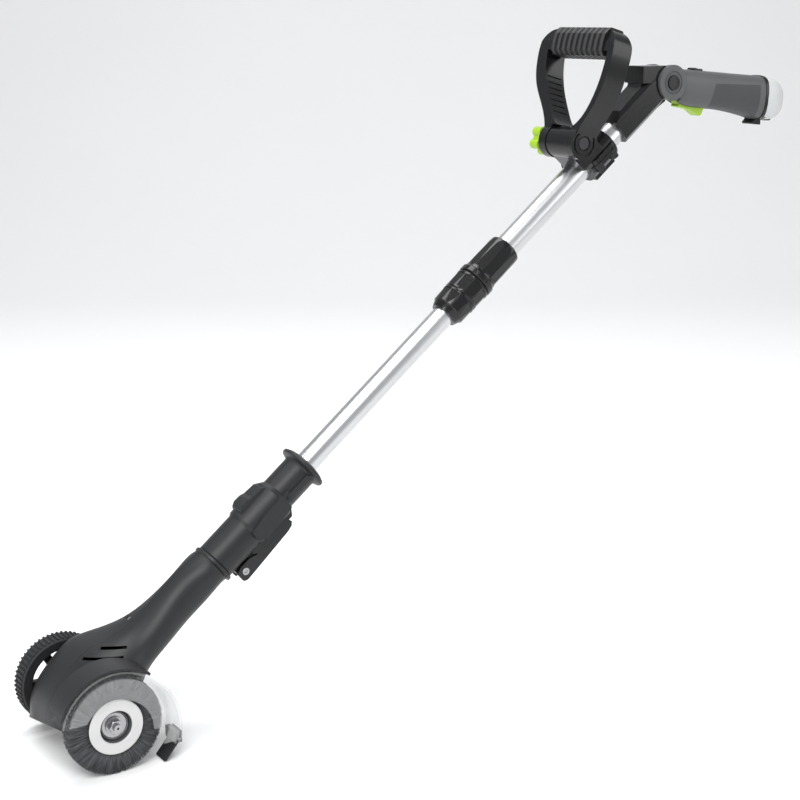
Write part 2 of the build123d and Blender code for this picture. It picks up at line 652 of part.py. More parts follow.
def make_front_handle():
    frame = handle_loop()
    frame -= block(-30, 30, LUG[0] - PLAY, LUG[1] + PLAY, -30, 17)
    frame -= block(-30, 30, -80, 80, -30, 0)
    for y0, y1 in (HUB_LEFT, HUB_RIGHT):
        frame += rod_y(D_CHEEK_R, y0, y1)
        frame += block(-13, 13, y0, y1, 0, 14)
    frame -= rod_y(18.0 + PLAY, LUG[0] - PLAY, LUG[1] + PLAY)
    frame -= rod_y(SHAFT_R + FIT, -60, 60)
    frame -= tube_y(15.0, 12.6, HUB_LEFT[0] - 1, HUB_LEFT[0] + 1.6)
    frame -= rod_y(8.2, HUB_LEFT[0] - 1, HUB_LEFT[0] + 4)
    for i in range(7):
        frame -= leg_groove(i)
    return D_FRAME * frame


def leg_groove(i):
    """Finger grooves on the inside of the far leg."""
    z = 32 + 6.6 * i
    return block(-10.5, 10.5, 12, 12 + 13.6 + 4.6 * i + 0.9, z, z + 1.3)


def sleeve_section(inset):
    """The grip seen from its end: wide flanks, a rounded top and a flatter underside."""
    side = [(10.5, 97.0 + inset), (15.0 - inset, 102.0), (15.4 - inset, 112.0), (14.6 - inset, 121.0),
            (9.0, 129.2 - inset)]
    return side + [(-x, z) for x, z in side[::-1]]


def make_handle_sleeve():
    """The ribbed rubber sleeve round the top bar."""
    y0, y1 = -46.0, 44.0
    bar = prism_y(sleeve_section(0.0), y0, y1, 3.0)
    groove = prism_y([(-30, 86), (-30, 138), (30, 138), (30, 86)], -1.7, 1.7)
    groove -= prism_y(sleeve_section(0.7), -3, 3, 2.6)
    for i in range(9):
        bar -= Pos(0, y0 + 8 + i * 9.25, 0) * groove
    return D_FRAME * (bar - handle_loop())


# ---- pole clamp ---------------------------------------------------------------------------
CLAMP_SCREWS = ((818.0, -19.5), (841.0, -19.5), (818.0, 19.5), (841.0, 19.5))


def clamp_flange(z0, z1):
    s0, s1 = CLAMP
    return prism_z([(s0 + 14, -24), (s1 - 2, -24), (s1 - 2, 24), (s0 + 14, 24)], z0, z1, 4.0)


def make_clamp_body():
    s0, s1 = CLAMP
    px, pz = D_PIVOT
    body = rod_x(CLAMP_R, s0, s1) + clamp_flange(0.4, 6.0)
    lug = prism_y([(s0 - 1.0, 8), (px - 17.5, pz), (px + 17.5, pz), (px + 26, 8)], *LUG)
    lug += rod_y(18.0, LUG[0], LUG[1], px, pz)
    body += lug
    body &= block(s0 - 30, s1 + 30, -60, 60, 0.4, 100)
    body -= rod_x(UPPER_TUBE_R + FIT, s0 - 40, s1 + 40)
    body -= rod_y(SHAFT_R, -60, 60, px, pz)
    body -= prism_y([(s0 - 5, 0), (s0 - 5, 8), (s0 + 10, 0)], -60, 60)
    for s, y in CLAMP_SCREWS:
        body -= rod_z(1.6, -1, 5.0, s, y)
    return POLE * body


def make_clamp_jaw():
    s0, s1 = CLAMP
    jaw = rod_x(CLAMP_R, s0 + 10, s1) + clamp_flange(-5.5, -0.4)
    for s, y in CLAMP_SCREWS:
        jaw += rod_z(5.0, -12.5, -0.4, s, y)
    jaw += block(s0 + 16, s1 - 4, -7, 7, -24.5, -15)
    jaw &= block(s0 - 30, s1 + 30, -60, 60, -100, -0.4)
    jaw -= rod_x(UPPER_TUBE_R + FIT, s0 - 40, s1 + 40)
    for s, y in CLAMP_SCREWS:
        jaw -= rod_z(1.8, -30, 1, s, y) + rod_z(3.2, -30, -9.0, s, y)
    return POLE * jaw


def make_clamp_screws():
    screws = []
    for s, y in CLAMP_SCREWS:
        part = rod_z(1.55, -10.0, 4.6, s, y) + rod_z(3.0, -11.8, -9.0, s, y)
        screws.append(POLE * (part - Pos(s, y, -11.8) * Box(3.6, 0.8, 1.6)))
    return screws


def make_tilt_bolt():
    """The cross bolt of the front handle; the star knob turns on its end."""
    bolt = rod_y(SHAFT_R, -32.5, 40.0) + rod_y(7.0, -34.6, -31.2)
    bolt += tube_y(9.0, SHAFT_R - 0.5, 24.3, 25.8)
    return D_FRAME * bolt


def make_star_knob():
    """A five-lobed hand knob."""
    y0, y1 = 26.2, 43.0
    lobe = rod_y(5.8, y0 + 3.5, y1, 11.8, 0)
    body = rod_y(12.5, y0 + 3.5, y1 - 1.0) + tube_y(10.0, 5.0, y0, y0 + 5)
    body = fused([body] + around(5, lobe))
    for scoop in around(5, rod_y(4.6, y0 - 1, y1 + 2, 17.2, 0)):
        body -= Rot(0, 36, 0) * scoop
    body -= rod_y(SHAFT_R + FIT, y0 - 1, 40.6)
    body -= tube_y(14.4, 10.4, y0 + 3, y0 + 6.0) & fused(around(5, block(4, 18, y0, y0 + 8, -3.0, 3.0)))
    return D_FRAME * body


# ---- rear arm and grip --------------------------------------------------------------------
ARM_HALF = 17.0
SMALL_SCREW = (1.4, 2.7)     # shank and head radius
TONGUE = 13.4                # half width of the arm's knuckle between the grip's cheeks


def arm_volume():
    px, pz = GRIP_PIVOT
    side = [(ARM_START_S, -15.5), (ARM_START_S, 15), (ARM_START_S + 14, 20.5), (922, 21.5),
            (933, 27.5), (px - 7, pz + 2), (px - 16, pz - 14), (930, -15.5)]
    shape = prism_y(side, -ARM_HALF, ARM_HALF, 1.5)
    for y in (-ARM_HALF - 1.5, ARM_HALF + 1.5):
        for z in (22.5, -15.5):
            shape -= Pos(ARM_START_S, y, z) * Rot(45, 0, 0) * Box(400, 11, 11)
    return shape


def make_arm_shells():
    px, pz = GRIP_PIVOT
    flat_top = block(-43, 0, -ARM_HALF + 1, ARM_HALF - 1, 0, KNUCKLE_R)
    shape = arm_volume() + Pos(px, 0, pz) * Rot(0, POLE_ANGLE, 0) * flat_top
    shape -= rod_y(CHEEK_R + PLAY, -40, -TONGUE, px, pz) + rod_y(CHEEK_R + PLAY, TONGUE, 40, px, pz)
    shape += rod_y(KNUCKLE_R, -TONGUE, TONGUE, px, pz)
    shape -= rod_x(UPPER_TUBE_R, ARM_START_S - 1, UPPER_TUBE[1])
    shape -= rod_y(5.0 + FIT, -40, 40, px, pz)
    shape -= rod_x(9.0, UPPER_TUBE[1] - 1, 945)
    for s, n in ARM_SCREWS:
        shape -= screw_bore(*SMALL_SCREW, s, n, 9.5, -8.5)
    return [POLE * half for half in halves(shape)]


ARM_SCREWS = ((914.0, 14.0), (914.0, -10.5), (932.0, -10.5))


def make_arm_screws():
    return [POLE * screw_y(*SMALL_SCREW, s, n, 9.5, -8.5) for s, n in ARM_SCREWS]


GRIP_SECTIONS = [            # along the grip: top, bottom, near and far reach, squareness
    (12.0, 17.2, -17.0, 16.5, 16.5, 2.6),
    (30.0, 17.4, -25.0, 18.0, 18.0, 2.8),
    (60.0, 17.6, -26.6, 18.6, 18.6, 2.8),
    (95.0, 17.8, -27.0, 18.8, 18.8, 2.8),
    (125.0, 18.0, -30.0, 19.2, 19.2, 2.8),
    (GRIP_END, 18.4, -35.0, 20.0, 20.0, 2.8),
]
GRIP_WALL = 2.2


def grip_volume(inset):
    rows = [(x, t - inset, b + inset, n - inset, f - inset, p) for x, t, b, n, f, p in GRIP_SECTIONS]
    return loft([make_face(egg_wire(*row, near_power=2.8)) for row in rows])


def overmould_zone():
    """The soft panel round the rear of the grip."""
    return prism_y([(62, -60), (66, -14), (70, 3.5), (GRIP_END - 9, 7), (GRIP_END - 9, -60)], -40, 40)


def make_grip_shells():
    body = grip_volume(0.0) - grip_volume(GRIP_WALL)
    skin = (grip_volume(0.0) - grip_volume(1.3)) & overmould_zone()
    body -= skin
    body += rod_y(CHEEK_R, -20.5, 20.5) - rod_y(CHEEK_R, -TONGUE - PLAY, TONGUE + PLAY)
    body -= rod_y(KNUCKLE_R + 0.8, -TONGUE - PLAY, TONGUE + PLAY)
    body -= block(-60, KNUCKLE_R + 1, -TONGUE - PLAY, TONGUE + PLAY, -40, 40)
    body -= rod_y(5.0, -19, 40) + rod_y(8.0, 18.0, 21.0)
    body -= rod_y(8.6 + PLAY, -30, -TONGUE - 1.3)
    body -= tube_y(13.6, 11.6, -22, -19.6) + tube_y(13.6, 11.6, 19.6, 22)
    px, pz = TRIGGER_PIVOT
    body += block(px - 4, px + 5, -11, 11, pz - 3.5, pz + 4) & grip_volume(0.5)
    body -= trigger_slot() + rod_y(1.8 + FIT, -9, 9, px, pz)
    body -= block(39, 64, -6.2, 6.2, 12, 22)
    for x, z in GRIP_SCREWS:
        body += rod_y(3.8, -40, 40, x, z) & grip_volume(1.5)
        body -= screw_bore(*SMALL_SCREW, x, z, 13.0, -7.5)
    return [GRIP * half for half in halves(body)]


GRIP_SCREWS = ((86.0, 10.5), (146.0, 12.5), (98.0, -16.5))
TRIGGER_PIVOT = (25.5, -19.5)


def trigger_slot():
    return block(20, 71, -6.6, 6.6, -40, -14)


def make_grip_screws():
    return [GRIP * screw_y(*SMALL_SCREW, x, z, 13.0, -7.5) for x, z in GRIP_SCREWS]


def make_overmould():
    skin = (grip_volume(0.0) - grip_volume(1.3)) & overmould_zone()
    skin -= trigger_slot()
    for x, z in GRIP_SCREWS:
        skin -= screw_bore(*SMALL_SCREW, x, z, 13.0, -7.5)
    return GRIP * skin


def make_tilt_pin():
    return GRIP * (rod_y(5.0, -TONGUE - 0.5, 18.0) + rod_y(8.0, 18.0, 19.4))


def make_tilt_button():
    cap = rod_y(8.6, -22.4, -TONGUE - 3.0) - rod_y(6.2, -23, -21.7)
    return GRIP * cap


def make_trigger():
    """A wedge trigger hinged at its front end."""
    outline = [(22.5, -19.0), (25, -23.5), (24, -26.6), (45, -29.0), (58, -35.5), (62.5, -34.5),
               (66.0, -25.5), (65, -17.5), (56, -17.0), (28, -17.0)]
    lever = prism_y(outline, -6.2, 6.2, 1.0)
    lever -= block(30, 60, -4.2, 4.2, -24.5, -10)
    pin = rod_y(2.8, -6.2, 6.2, *TRIGGER_PIVOT) + rod_y(1.8, -8.6, 8.6, *TRIGGER_PIVOT)
    return GRIP * (lever + pin)


def make_lock_off():
    outline = [(44, 13.5), (44, 19.2), (46, 20.2), (50, 19.4), (56, 19.6), (58, 18.6), (58, 13.5)]
    return GRIP * prism_y(outline, -5.8, 5.8, 0.8)


def make_switch():
    """The microswitch block that the trigger works."""
    box = block(38, 64, -5.5, 5.5, -6.0, 5.0) + block(50, 56, -2.5, 2.5, -8.2, -5.9)
    return GRIP * box


def make_end_plate():
    """The battery foot: a plate with the pack's rail and a catch recess."""
    face = make_face(egg_wire(GRIP_END, 19.0, -35.8, 20.6, 20.6, 3.0, 3.0))
    plate = extrude(face, 4.2, dir=(1, 0, 0))
    plate += prism_y([(GRIP_END, -14), (GRIP_END + 8, -14), (GRIP_END + 11.5, -21), (GRIP_END + 10, -26),
                      (GRIP_END + 3, -33), (GRIP_END, -33)], -12, 12, 1.0)
    plate += prism_y([(GRIP_END - 2, -33.0), (GRIP_END + 6, -32), (GRIP_END + 7, -40.5),
                      (GRIP_END - 5.5, -40.5), (GRIP_END - 7, -38.8)], -9, 9, 0.8)
    for side in (-1, 1):
        plate += block(GRIP_END + 4, GRIP_END + 26, side * 13 - 2, side * 13 + 2, 3, 7)
    return GRIP * (plate - grip_volume(0.0))


def pack_volume(inset):
    sections = [(GRIP_END + 4.5 + inset, 17.5, -33.0), (GRIP_END + 22, 16.4, -34.0),
                (GRIP_END + 32, 11.0, -29.5), (GRIP_END + 37.5 - inset, 2.0, -20.0)]
    reach = [20.6, 20.4, 17.5, 11.0]
    faces = []
    for (x, top, bottom), half in zip(sections, reach):
        side = half - inset
        faces.append(make_face(egg_wire(x, top - inset, bottom + inset, side, side, 2.6, 2.6)))
    return loft(faces)


def make_battery_pack():
    body = pack_volume(0.0) - pack_volume(2.0)
    body -= block(GRIP_END, GRIP_END + 12.2, -12.4, 12.4, -34.2, -13.2)
    for side in (-1, 1):
        body -= block(GRIP_END, GRIP_END + 27, side * 13 - 2.4, side * 13 + 2.4, 2.6, 7.4)
    body -= block(GRIP_END + 14.1, GRIP_END + 26.4, -7.4, 7.4, -40, -27.0)
    return GRIP * body


def make_battery_cells():
    cells = []
    for y in (-6.0, 6.0):
        cells.append(GRIP * rod_x(5.4, GRIP_END + 13.5, GRIP_END + 30, y, -6.5))
    return cells


def make_battery_catch():
    """The sprung thumb catch under the pack."""
    x0, x1 = GRIP_END + 14.5, GRIP_END + 26.0
    return GRIP * prism_y([(x0, -29.0), (x0, -35.0), (x1 - 1, -34.4), (x1, -29.0)], -7, 7, 0.8)


# ---- build --------------------------------------------------------------------------------
def model():
    """Every named piece; a list is a group of separate solids."""
    head_left, head_right = make_head_shells()
    coupling_left, coupling_right = make_coupling_shells()
    arm_left, arm_right = make_arm_shells()
    grip_left, grip_right = make_grip_shells()
    return {
        "head_shell_left": head_left,
        "head_shell_right": head_right,
        "head_screws": make_head_screws(),
        "swivel_ring": make_swivel_ring(),
        "motor_can": make_motor_can(),
        "motor_bracket": make_motor_bracket(),
        "gearbox_frame": make_gearbox_frame(),
        "shaft_bearings": make_shaft_bearings(),
        "motor_rotor": make_rotor(),
        "cooling_fan": make_fan(),
        "drive_pinion": make_pinion(),
        "crown_gear": make_crown_gear(),
        "output_shaft": make_output_shaft(),
        "brush_flange": make_brush_flange(),
        "brush_core": make_brush_core(),
        "hub_disc": make_hub_disc(),
        "brush_bristles": make_brush_ring(),
        "hub_washer": make_hub_washer(),
        "hub_nut": make_hub_nut(),
        "brush_guard": make_guard(),
        "guard_screws": make_guard_screws(),
        "flap_clamp": make_flap_clamp(),
        "rubber_flap": make_flap(),
        "wheel_rim": make_wheel_rim(),
        "wheel_tyre": make_wheel_tyre(),
        "wheel_bolt": make_wheel_bolt(),
        "coupling_shell_left": coupling_left,
        "coupling_shell_right": coupling_right,
        "coupling_screws": make_coupling_screws(),
        "flange_collar": make_flange_collar(),
        "latch_lever": make_latch_lever(),
        "latch_screw": make_latch_screw(),
        "lower_tube": make_lower_tube(),
        "upper_tube": make_upper_tube(),
        "collar_sleeve": make_collar_sleeve(),
        "collar_nut": make_collar_nut(),
        "collet": make_collet(),
        "clamp_body": make_clamp_body(),
        "clamp_jaw": make_clamp_jaw(),
        "clamp_screws": make_clamp_screws(),
        "tilt_bolt": make_tilt_bolt(),
        "front_handle_frame": make_front_handle(),
        "front_handle_sleeve": make_handle_sleeve(),
        "star_knob": make_star_knob(),
        "arm_shell_left": arm_left,
        "arm_shell_right": arm_right,
        "arm_screws": make_arm_screws(),
        "grip_shell_left": grip_left,
        "grip_shell_right": grip_right,
        "grip_overmould": make_overmould(),
        "grip_screws": make_grip_screws(),
        "tilt_pin": make_tilt_pin(),
        "tilt_button": make_tilt_button(),
        "trigger": make_trigger(),
        "lock_off_slider": make_lock_off(),
        "switch_unit": make_switch(),
        "end_plate": make_end_plate(),
        "battery_pack": make_battery_pack(),
        "battery_cells": make_battery_cells(),
        "battery_catch": make_battery_catch(),
    }


def solids_of(item):
    items = item if isinstance(item, list) else [item]
    return [solid for part in items for solid in part.solids()]


os.makedirs("parts", exist_ok=True)
for name, item in model().items():
    solids = solids_of(item)
    export_step(solids[0] if len(solids) == 1 else Compound(children=solids), f"parts/{name}.step")
    print(name, len(solids))
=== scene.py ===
"""Looks for the battery lawn edger: materials, bristles, studio and camera.

Blender works in metres; sizes given in mm are multiplied by MM where they are used.
"""
import json
import math
import random

import bmesh
import bpy
from mathutils import Matrix, Vector

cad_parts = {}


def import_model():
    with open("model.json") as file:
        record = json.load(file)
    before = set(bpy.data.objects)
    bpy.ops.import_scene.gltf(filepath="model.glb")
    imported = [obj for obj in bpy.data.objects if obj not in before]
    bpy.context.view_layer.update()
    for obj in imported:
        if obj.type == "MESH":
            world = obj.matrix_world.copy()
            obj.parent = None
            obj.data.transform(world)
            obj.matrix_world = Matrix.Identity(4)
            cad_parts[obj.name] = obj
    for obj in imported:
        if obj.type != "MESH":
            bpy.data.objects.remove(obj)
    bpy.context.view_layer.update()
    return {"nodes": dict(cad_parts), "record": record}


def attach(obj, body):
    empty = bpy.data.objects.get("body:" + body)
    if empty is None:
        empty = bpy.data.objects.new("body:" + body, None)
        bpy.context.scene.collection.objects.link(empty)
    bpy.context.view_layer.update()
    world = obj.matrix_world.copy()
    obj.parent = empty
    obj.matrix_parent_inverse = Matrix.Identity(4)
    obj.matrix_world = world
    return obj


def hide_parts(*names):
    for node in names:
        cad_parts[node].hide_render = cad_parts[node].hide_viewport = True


MM = 0.001

# ---- dimensions shared with the frame, in mm ----------------------------------------------------
AXLE_HEIGHT = 50.0
POLE_ANGLE = math.radians(38.9)
BRUSH_Y = (-74.5, -59.0)
BRUSH_R = 50.0
BRISTLE_ROOT_R = 27.0
GUARD_FACE_Y = -77.4         # the guard's side plate lies further out than this
GUARD_RIM_R = (50.0, 55.8)   # the clearer ring of the side plate, outside the brush
SLEEVE_GROOVE_Y = -38.0      # the first groove of the front handle's sleeve
SLEEVE_RIB_PITCH = 9.25

# ---- finishes ----------------------------------------------------------------------------------
BLOTCH_SCALE = 22.0          # faint clouds in a moulding's colour
SPARK_SCALE = 1500.0         # the fine texture of a spark-eroded mould
SPARK_DEPTH = 0.2            # mm
RIB_DEPTH = 1.4              # mm
PLATE_HAZE = 0.11            # how much of the guard's side plate hides what lies behind it
EDGE_HAZE = 0.10             # the same at the plate's outer edge
CLEAR_HAZE = 0.02            # the same where the guard is clear
STREAKS = (26.0, 150.0, 60.0)  # how fast the bristles' tone varies per radian, metre across and metre out
OWN_FINISH = {"front_handle_sleeve": "sleeve_rubber", "grip_overmould": "grip_rubber"}

# ---- bristles, in mm ---------------------------------------------------------------------------
BRISTLE_ROWS = 13
BRISTLES_PER_ROW = 330
BRISTLE_R = 0.36
TIP_TAPER = 0.8              # a tip's thickness over its root's
ROW_INSET = 0.8              # from the brush's side to its outermost row
LENGTH_SPREAD = 1.5          # how much shorter the shortest bristle is
TIP_SWAY = 0.5               # how far a tip leans to either side
ROOT_WOBBLE = 0.004          # radians round the axle, either way
TIP_DRIFT = 0.012            # radians round the axle, either way
BED_R = 47.8
BED_SHOULDER_R = 46.5
BED_INSET = (1.0, 1.2, 3.0)  # from the brush's side at the bed's root, shoulder and rim
BED_STEPS = 96

# ---- studio, in m and radians ------------------------------------------------------------------
CAMERA_YAW = 0.578
CAMERA_PITCH = 0.236
CAMERA_PLACE = (-0.5493, -1.4246, 0.7227)
CAMERA_LENS = 71.3
FLOOR_FRONT = -6.0
FLOOR_BACK = 2.6
FLOOR_BEND_R = 2.0
FLOOR_BEND_STEPS = 24
FLOOR_HALF_WIDTH = 7.0
WALL_TOP = 6.0


# ---- node helpers ---------------------------------------------------------------------------
class Graph:
    """A short way to add and join shader nodes."""

    def __init__(self, name):
        self.material = bpy.data.materials.new(name)
        self.material.use_nodes = True
        self.tree = self.material.node_tree
        self.tree.nodes.clear()

    def add(self, kind, **values):
        node = self.tree.nodes.new(kind)
        for key, value in values.items():
            if key in node.inputs:
                node.inputs[key].default_value = value
            else:
                setattr(node, key, value)
        return node

    def join(self, source, target):
        self.tree.links.new(source, target)

    def finish(self, shader):
        out = self.add("ShaderNodeOutputMaterial")
        self.join(shader, out.inputs["Surface"])
        return self.material


def rgba(colour):
    """The colour with full opacity."""
    return (colour[0], colour[1], colour[2], 1.0)


def scaled(colour, k):
    """The colour made k times as bright, up to white."""
    return tuple(min(1.0, c * k) for c in colour)


def noise(graph, scale, detail=2.0, draw=1.0):
    """Noise in object space, drawn out along the pole if asked."""
    coords = graph.add("ShaderNodeTexCoord")
    texture = graph.add("ShaderNodeTexNoise", Scale=scale, Detail=detail)
    place = graph.add("ShaderNodeMapping", vector_type="TEXTURE", Scale=(draw, 1.0, 1.0))
    place.inputs["Rotation"].default_value = (0.0, -POLE_ANGLE, 0.0)
    graph.join(coords.outputs["Object"], place.inputs["Vector"])
    graph.join(place.outputs["Vector"], texture.inputs["Vector"])
    return texture


def math_node(graph, operation, first, second=0.0):
    """One sum on a socket and a number, or on two sockets."""
    node = graph.add("ShaderNodeMath", operation=operation)
    graph.join(first, node.inputs[0])
    if isinstance(second, float):
        node.inputs[1].default_value = second
    else:
        graph.join(second, node.inputs[1])
    return node.outputs["Value"]


def object_xyz(graph):
    """The outputs X, Y and Z of the point's place in the object's own space."""
    coords = graph.add("ShaderNodeTexCoord")
    split = graph.add("ShaderNodeSeparateXYZ")
    graph.join(coords.outputs["Object"], split.inputs["Vector"])
    return split.outputs


def axle_place(graph):
    """Where a point lies about the axle: along and up from it, across the object, and its radius."""
    xyz = object_xyz(graph)
    along = xyz["X"]
    up = math_node(graph, "SUBTRACT", xyz["Z"], AXLE_HEIGHT * MM)
    squares = math_node(graph, "MULTIPLY", along, along), math_node(graph, "MULTIPLY", up, up)
    radius = math_node(graph, "SQRT", math_node(graph, "ADD", *squares))
    return {"along": along, "up": up, "across": xyz["Y"], "radius": radius}


def ramp(graph, source, low, high, start=0.3, end=0.7):
    """Goes from low to high as the source goes from start to end."""
    node = graph.add("ShaderNodeMapRange")
    node.inputs["From Min"].default_value = start
    node.inputs["From Max"].default_value = end
    node.inputs["To Min"].default_value = low
    node.inputs["To Max"].default_value = high
    graph.join(source, node.inputs["Value"])
    return node.outputs["Result"]


def tint(graph, source, dark, light):
    """A colour between dark and light, as the source goes from 0 to 1."""
    node = graph.add("ShaderNodeMix", data_type="RGBA")
    node.inputs["A"].default_value = rgba(dark)
    node.inputs["B"].default_value = rgba(light)
    graph.join(source, node.inputs["Factor"])
    return node.outputs["Result"]


def rounded(graph, radius):
    """A normal that rounds sharp edges off to a radius in mm."""
    node = graph.add("ShaderNodeBevel", samples=4, Radius=radius * MM)
    return node.outputs["Normal"]


def moulded(name, colour, rough, grain=0.25, edge=0.5, shine=0.5):
    """Moulded plastic or rubber: a fine spark texture, faint blotches and softened edges."""
    graph = Graph(name)
    shader = graph.add("ShaderNodeBsdfPrincipled")
    shader.inputs["Specular IOR Level"].default_value = shine
    blotch = noise(graph, BLOTCH_SCALE, 3.0)
    spark = noise(graph, SPARK_SCALE, 2.0)
    mixed = tint(graph, blotch.outputs["Fac"], scaled(colour, 0.88), scaled(colour, 1.12))
    graph.join(mixed, shader.inputs["Base Color"])
    graph.join(ramp(graph, spark.outputs["Fac"], rough - 0.06, rough + 0.08), shader.inputs["Roughness"])
    bump = graph.add("ShaderNodeBump", Strength=grain, Distance=SPARK_DEPTH * MM)
    graph.join(spark.outputs["Fac"], bump.inputs["Height"])
    if edge:
        graph.join(rounded(graph, edge), bump.inputs["Normal"])
    graph.join(bump.outputs["Normal"], shader.inputs["Normal"])
    return graph.finish(shader.outputs["BSDF"])


def ribbed_rubber(name, colour):
    """The handle's sleeve: rounded ribs by bump, with painted shade down in the grooves and a painted
    highlight on the crests.
    """
    graph = Graph(name)
    shader = graph.add("ShaderNodeBsdfPrincipled")
    shader.inputs["Specular IOR Level"].default_value = 0.3
    from_groove = math_node(graph, "SUBTRACT", object_xyz(graph)["Y"], SLEEVE_GROOVE_Y * MM)
    turn = math_node(graph, "MULTIPLY", from_groove, 2 * math.pi / (SLEEVE_RIB_PITCH * MM))
    depth = math_node(graph, "COSINE", turn)
    painted_rib_light = ramp(graph, depth, 1.0, 0.0, -0.9, 0.7)
    spark = noise(graph, SPARK_SCALE, 2.0)
    # painted shade in the grooves and painted highlight on the crests, in the base colour
    graph.join(tint(graph, painted_rib_light, scaled(colour, 0.25), scaled(colour, 1.7)), shader.inputs["Base Color"])
    graph.join(ramp(graph, spark.outputs["Fac"], 0.40, 0.54), shader.inputs["Roughness"])
    bump = graph.add("ShaderNodeBump", Strength=1.0, Distance=RIB_DEPTH * MM)
    graph.join(ramp(graph, depth, 1.0, 0.0, -1.0, 1.0), bump.inputs["Height"])
    graph.join(bump.outputs["Normal"], shader.inputs["Normal"])
    return graph.finish(shader.outputs["BSDF"])


def metal(name, colour, rough, grain=400.0, draw=1.0, spread=0.04):
    """Metal with a fine grain; the tubes' grain is drawn out along the pole."""
    graph = Graph(name)
    shader = graph.add("ShaderNodeBsdfPrincipled", Metallic=1.0)
    lines = noise(graph, grain, 3.0, draw)
    cloud = noise(graph, 14.0, 2.0)
    mixed = tint(graph, cloud.outputs["Fac"], scaled(colour, 0.93), scaled(colour, 1.05))
    graph.join(mixed, shader.inputs["Base Color"])
    graph.join(ramp(graph, lines.outputs["Fac"], rough - spread, rough + spread), shader.inputs["Roughness"])
    graph.join(rounded(graph, 0.3), shader.inputs["Normal"])
    return graph.finish(shader.outputs["BSDF"])


def clear_sheet(name, colour):
    """Clear moulded plastic, partly covered by a pale grey layer on the side plate as guard_haze sets it."""
    graph = Graph(name)
    see = graph.add("ShaderNodeBsdfTransparent", Color=rgba((0.92, 0.925, 0.925)))
    solid = graph.add("ShaderNodeBsdfPrincipled")
    scuff = noise(graph, 60.0, 4.0)
    graph.join(tint(graph, scuff.outputs["Fac"], scaled(colour, 0.92), colour), solid.inputs["Base Color"])
    graph.join(ramp(graph, scuff.outputs["Fac"], 0.10, 0.28), solid.inputs["Roughness"])
    mix = graph.add("ShaderNodeMixShader")
    graph.join(guard_haze(graph), mix.inputs["Fac"])
    graph.join(see.outputs["BSDF"], mix.inputs[1])
    graph.join(solid.outputs["BSDF"], mix.inputs[2])
    return graph.finish(mix.outputs["Shader"])


def guard_haze(graph):
    """Hazy side plate with a clear ring and a bright edge; the curved band is nearly clear."""
    place = axle_place(graph)
    inner, outer = (r * MM for r in GUARD_RIM_R)
    plate = ramp(graph, place["radius"], PLATE_HAZE, CLEAR_HAZE, inner, inner + 0.5 * MM)
    edge = ramp(graph, place["radius"], 0.0, EDGE_HAZE, outer, outer + 0.3 * MM)
    side = ramp(graph, place["across"], 1.0, 0.0, GUARD_FACE_Y * MM, (GUARD_FACE_Y + 0.4) * MM)
    hazed = math_node(graph, "MULTIPLY", math_node(graph, "ADD", plate, edge), side)
    return math_node(graph, "MAXIMUM", hazed, CLEAR_HAZE)


def milky(name, colour):
    """Pale, slightly translucent plastic."""
    graph = Graph(name)
    shader = graph.add("ShaderNodeBsdfPrincipled", Roughness=0.35)
    shader.inputs["Subsurface Weight"].default_value = 0.25
    shader.inputs["Subsurface Scale"].default_value = 0.004
    cloud = noise(graph, 30.0, 3.0)
    graph.join(tint(graph, cloud.outputs["Fac"], scaled(colour, 0.93), colour), shader.inputs["Base Color"])
    graph.join(ramp(graph, cloud.outputs["Fac"], 0.3, 0.42), shader.inputs["Roughness"])
    graph.join(rounded(graph, 0.8), shader.inputs["Normal"])
    return graph.finish(shader.outputs["BSDF"])


def bristle_fibre(name, colour):
    """Nylon bristle: the tone varies round the brush in radial streaks."""
    graph = Graph(name)
    shader = graph.add("ShaderNodeBsdfPrincipled", Roughness=0.55)
    place = axle_place(graph)
    turn = math_node(graph, "ARCTAN2", place["up"], place["along"])
    streak = graph.add("ShaderNodeCombineXYZ")
    for axis, source, rate in zip("XYZ", (turn, place["across"], place["radius"]), STREAKS):
        graph.join(math_node(graph, "MULTIPLY", source, rate), streak.inputs[axis])
    strand = graph.add("ShaderNodeTexNoise", Scale=1.0, Detail=2.0)
    graph.join(streak.outputs["Vector"], strand.inputs["Vector"])
    tone = ramp(graph, strand.outputs["Fac"], 0.0, 1.0, 0.35, 0.65)
    graph.join(tint(graph, tone, scaled(colour, 0.3), scaled(colour, 2.0)), shader.inputs["Base Color"])
    graph.join(ramp(graph, strand.outputs["Fac"], 0.45, 0.65), shader.inputs["Roughness"])
    return graph.finish(shader.outputs["BSDF"])


